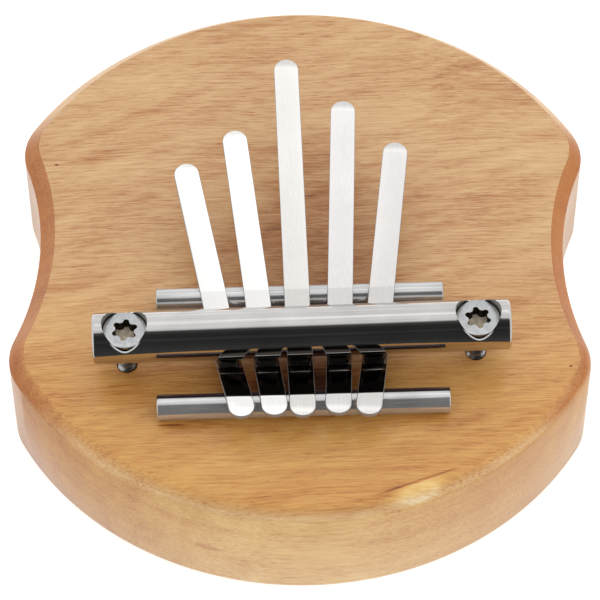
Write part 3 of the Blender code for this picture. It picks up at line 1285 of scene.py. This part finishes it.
@dataclass
class Studio:
    """A white light tent with black card in front, a pale floor and the camera.

    The card stands on the camera's side, from the floor up to just short of overhead, so round
    metal shows one black band under one white band.
    """

    elevation: float = math.radians(53.868)
    yaw: float = math.radians(0.851)
    roll: float = math.radians(-0.257)
    lens: float = 196.787
    distance: float = 545.581
    clip_start: float = 0.01
    target: Point = (-0.3102, 4.4453, 0.0)
    floor_size: float = 12.0
    floor_glow: float = 0.72
    # What metal mirrors, by degrees from overhead to the front: floor and wall behind, roof,
    # the card's edge, the card, and the floor in front.
    bands: tuple[tuple[float, float], ...] = (
        (-180, 1.0), (-110, 1.0), (-100, 1.7), (-90, 0.98), (-76, 1.06), (-60, 1.02),
        (-49, 1.0), (-42, 0.98), (-34, 0.98), (-27, 1.42), (-21, 1.18), (-14, 0.98), (-8, 1.0),
        (-2, 0.94), (5, 0.92), (9, 0.8), (13, 0.18), (17, 0.06), (23, 0.055), (28, 0.032),
        (44, 0.03), (53, 0.05), (61, 0.03), (90, 0.04), (101, 0.05), (128, 0.06), (138, 0.9),
        (180, 1.0))
    card_end: tuple[float, float] = (0.55, 0.8)
    side_light: float = 0.95
    depth_light: tuple[float, float] = (0.9, 1.6)
    right_light: float = 0.2

    def camera(self) -> None:
        """Place the camera where the photograph was taken from."""
        data = bpy.data.cameras.new("photo_camera")
        data.lens = self.lens
        data.clip_start = self.clip_start
        rig = bpy.data.objects.new("photo_camera", data)
        bpy.context.scene.collection.objects.link(rig)
        back = Vector((math.sin(self.yaw) * math.cos(self.elevation),
                       -math.cos(self.yaw) * math.cos(self.elevation), math.sin(self.elevation)))
        level = Vector((math.cos(self.yaw), math.sin(self.yaw), 0.0))
        right = math.cos(self.roll) * level + math.sin(self.roll) * back.cross(level)
        axes = Matrix((right, back.cross(right), back)).transposed()
        spot = (Vector(self.target) + back * self.distance) * MM
        rig.matrix_world = Matrix.Translation(spot) @ axes.to_4x4()
        bpy.context.scene.camera = rig

    def floor(self) -> None:
        """Lay a pale matt floor that keeps only a faint shadow."""
        shape = bmesh.new()
        bmesh.ops.create_grid(shape, x_segments=1, y_segments=1, size=self.floor_size / 2)
        mesh = bpy.data.meshes.new("floor")
        shape.to_mesh(mesh)
        shape.free()
        floor = bpy.data.objects.new("floor", mesh)
        bpy.context.scene.collection.objects.link(floor)
        # The paper is lit from below as well, so it burns out to white.
        material, shader = new_material("floor_paper")
        set_node(material.node_tree, shader, {
            "Base Color": linear("#BFBFBF"), "Roughness": 1.0, "Specular IOR Level": 0.0,
            "Emission Color": (1.0,) * 4, "Emission Strength": self.floor_glow})
        mesh.materials.append(material)
        # Metal mirrors the tent and the card, not the paper, which the card hides in front.
        floor.visible_glossy = False

    def light(self) -> None:
        """Light the scene from a white tent, with the black card for what metal mirrors."""
        world = bpy.data.worlds.new("tent")
        bpy.context.scene.world = world
        world.use_nodes = True
        world.cycles.sampling_method = "NONE"
        tree = world.node_tree
        x, y, z = add_node(tree, "SeparateXYZ", {
            0: add_node(tree, "TexCoord").outputs["Generated"]}).outputs
        forward = add_node(tree, "Math", {"operation": "MULTIPLY", 0: y, 1: -1.0})
        angle = add_node(tree, "Math", {"operation": "ARCTAN2", 0: forward, 1: z})
        turn = add_node(tree, "MapRange", {
            "Value": angle, "From Min": -math.pi, "From Max": math.pi})
        mirrored = add_node(tree, "ValToRGB", {0: turn, "ramp": [
            ((degrees + 180) / 360, light) for degrees, light in self.bands]})
        aside = add_node(tree, "Math", {"operation": "ABSOLUTE", 0: x})
        beyond = add_node(tree, "MapRange", EASED | {
            "Value": aside, "From Min": self.card_end[0], "From Max": self.card_end[1]})
        mirrored = add_node(tree, "Mix", {
            "data_type": "RGBA", 0: beyond, 6: mirrored, 7: (self.side_light,) * 3 + (1.0,)})
        # Matt surfaces are lit a little more from behind and from the right.
        behind = add_node(tree, "MapRange", EASED | {
            "Value": y, "From Min": 0.1, "From Max": 0.9, "To Min": self.depth_light[0],
            "To Max": self.depth_light[1]})
        soft = add_node(tree, "Math", {
            "operation": "MULTIPLY_ADD", 0: x, 1: self.right_light, 2: behind})
        glossy = add_node(tree, "LightPath").outputs["Is Glossy Ray"]
        set_node(tree, tree.nodes["Background"], {0: add_node(tree, "Mix", {
            "data_type": "RGBA", 0: glossy, 6: soft, 7: mirrored})})

    def make(self) -> None:
        """Set up the camera, the floor, the light and the plain colour rendering."""
        self.camera()
        self.floor()
        self.light()
        bpy.context.scene.view_settings.view_transform = "Standard"


def main() -> None:
    """Build every piece in order."""
    logging.basicConfig(level=logging.INFO, format="%(name)s %(message)s")
    Studio().make()
    hardware = Hardware()
    bar = ClampBar(hardware)
    rods = Rods(hardware)
    screws = Screws(bar)
    wood = OiledWood(marks=(
        # Painted shade: between and behind the tongues the face is painted darker and redder, where
        # the tongues and the bar shade it.
        WoodMarkOrShade((0.2, -27.5, 20.5), (15.0, 7.5, 4.0), -0.3),
        WoodMarkOrShade((3.0, -28.5, 20.5), (6.0, 6.0, 4.0), -0.25),
        WoodMarkOrShade((0.0, -7.0, 20.5), (24.0, 15.0, 4.0), -0.1),
        WoodMarkOrShade((2.0, 6.0, 20.5), (13.0, 22.0, 4.0), -0.1),
        # Painted light and shade: the left of the rim is painted a shade darker and the right a
        # shade lighter, as light falls more from the right.
        WoodMarkOrShade((-52.0, -24.0, 9.0), (24.0, 32.0, 16.0), -0.07),
        WoodMarkOrShade((48.0, -28.0, 9.0), (30.0, 32.0, 16.0), 0.08),
        # A pale fleck in front between two brown lines, a brown one low on the rim and three
        # pin knots.
        WoodMarkOrShade((18.4, -46.3, 20.5), (6.0, 2.5, 3.0), 0.42, 24.0),
        WoodMarkOrShade((18.3, -44.5, 20.5), (8.5, 0.35, 2.0), -0.35, 22.0),
        WoodMarkOrShade((19.8, -48.2, 19.6), (6.0, 0.35, 1.2), -0.35, 24.0),
        WoodMarkOrShade((-14.1, -49.3, 8.7), (3.2, 4.0, 0.9), -0.2),
        WoodMarkOrShade((-40.2, 16.45, 20.5), (0.4, 0.25, 0.4), -0.5),
        WoodMarkOrShade((42.4, -22.9, 20.5), (0.35, 0.25, 0.4), -0.5),
        WoodMarkOrShade((-19.9, -34.6, 20.5), (3.0, 0.35, 0.6), -0.3),
    )).make()
    # Turned and polished stainless steel: nearly a mirror, with lengthwise polishing lines.
    polished = Metal("polished_steel_bar", "#DAD8D6", "#BAB8B6", roughness=0.07,
                     roughness_swing=0.03, mark_width=0.2, mark_length=24.0, mark_depth=0.0005,
                     turn=hardware.turn + bar.turn).make()
    # Drilled walls are dull, with the drill's marks running round them.
    drilled = Metal("drilled_steel", "#C9C5BA", "#8A867C", roughness=0.42,
                    roughness_swing=0.08, mark_width=0.15, mark_length=4.0, mark_depth=0.002,
                    turn=hardware.turn).make()
    # Cold-drawn steel: duller, with drawing lines that spread what it mirrors.
    drawn = Metal("drawn_steel_rods", "#E4E2E2", "#B9BCBB", roughness=0.12,
                  roughness_swing=0.05, mark_width=0.2, mark_length=9.0, mark_depth=0.0012,
                  turn=hardware.turn, metallic=0.76)
    # Painted shade: a dark line is painted along the rest rod's back, towards the bar, standing in
    # for the bar's dark reflection.
    painted_bar_reflection = PaintedShadeBand((hardware.x, hardware.y), hardware.turn, 0.35 - rods.rest_distance,
                    3.0 - rods.rest_distance, 0.15, "#6A5A60")
    shaded_rest_rod_steel = replace(drawn, name="drawn_steel_rest_rod", painted_shade_bands=(painted_bar_reflection,))
    # Bright zinc over steel: pale, soft and a little blotched.
    zinc = Metal("zinc_plate", "#C9CBCC", "#A9ABAD", roughness=0.3, roughness_swing=0.08,
                 mark_width=0.35, mark_length=0.35, mark_depth=0.004, marks=Marks.NONE,
                 cloud_size=1.2).make()
    # Painted shade: the socket's walls are painted dark where the recess lies in shade, and its
    # floor a pale tan that lifts it out of that shade.
    shaded_socket_wall = Metal("painted_shade_socket_wall", "#4A4440", "#2E2A28", roughness=0.5,
                    roughness_swing=0.08, mark_width=0.3, mark_length=0.3, mark_depth=0.004,
                    marks=Marks.NONE, cloud_size=0.8)
    socket_floor = replace(shaded_socket_wall, name="socket_floor_painted_tan", colour="#EADCC4",
                           shade="#B8A88E", mark_depth=0.01, metallic=0.5)
    Soundboard().make(wood, screws)
    bar.make(polished, drilled, screws)
    rods.make(drawn.make(), shaded_rest_rod_steel.make())
    screws.make(zinc, shaded_socket_wall.make(), socket_floor.make())
    # The tongues' sheared edges are tumbled round and grey, and painted darker still as painted
    # shade along the tongues' outlines.
    tumbled_edge_and_shade = Metal("tumbled_steel_edge_shaded", "#BAB7B6", "#A29F9F", roughness=0.45,
                    roughness_swing=0.05, mark_width=0.3, mark_length=0.3, mark_depth=0.001,
                    marks=Marks.NONE, metallic=0.7).make()
    # Each tongue's number, place along the bar, fan in degrees, length from the bridge to the tip,
    # length from the rest to the tail, and colours, which paint light: the first two are lighter
    # and the others darker, as the first two mirror the tent more brightly.
    tongues = (
        (1, -11.85, 10.2, 23.0, 4.55, "#F7F6F4", "#F1F0EE"),
        (2, -5.80, 5.8, 28.7, 4.4, "#F7F6F4", "#F1F0ED"),
        (3, -0.35, 0.65, 41.7, 4.65, "#E3E1DD", "#DAD8D4"),
        (4, 5.90, -2.9, 33.6, 4.4, "#E1DEDD", "#D7D5D4"),
        (5, 11.65, -7.5, 25.8, 4.8, "#DFDCD9", "#D5D2D0"),
    )
    # Painted shade: the tongues are darkened just in front of the bar, standing in for the dark
    # that they mirror there, with a gap left unpainted for a thin bright line.
    painted_front_shade = tuple(PaintedShadeBand((hardware.x, hardware.y), hardware.turn, start, end, 0.1, "#5E5854")
                  for start, end in ((-10.6, -5.22), (-5.0, -3.75)))
    for number, place, fan, sounding, overhang, colour, shade in tongues:
        tongue = Tongue(hardware, bar, rods, number, place, math.radians(fan), sounding, overhang)
        # Rolled spring steel: bright, with rolling lines along the strip.
        steel = Metal(f"spring_steel_{number}", colour, shade, roughness=0.1,
                      roughness_swing=0.04, mark_width=0.2, mark_length=25.0,
                      mark_depth=0.0005, marks=Marks.ALONG_Y, turn=hardware.turn + tongue.fan,
                      painted_shade_bands=painted_front_shade)
        tongue.make(steel.make(), tumbled_edge_and_shade)


if __name__ == "__main__":
    main()
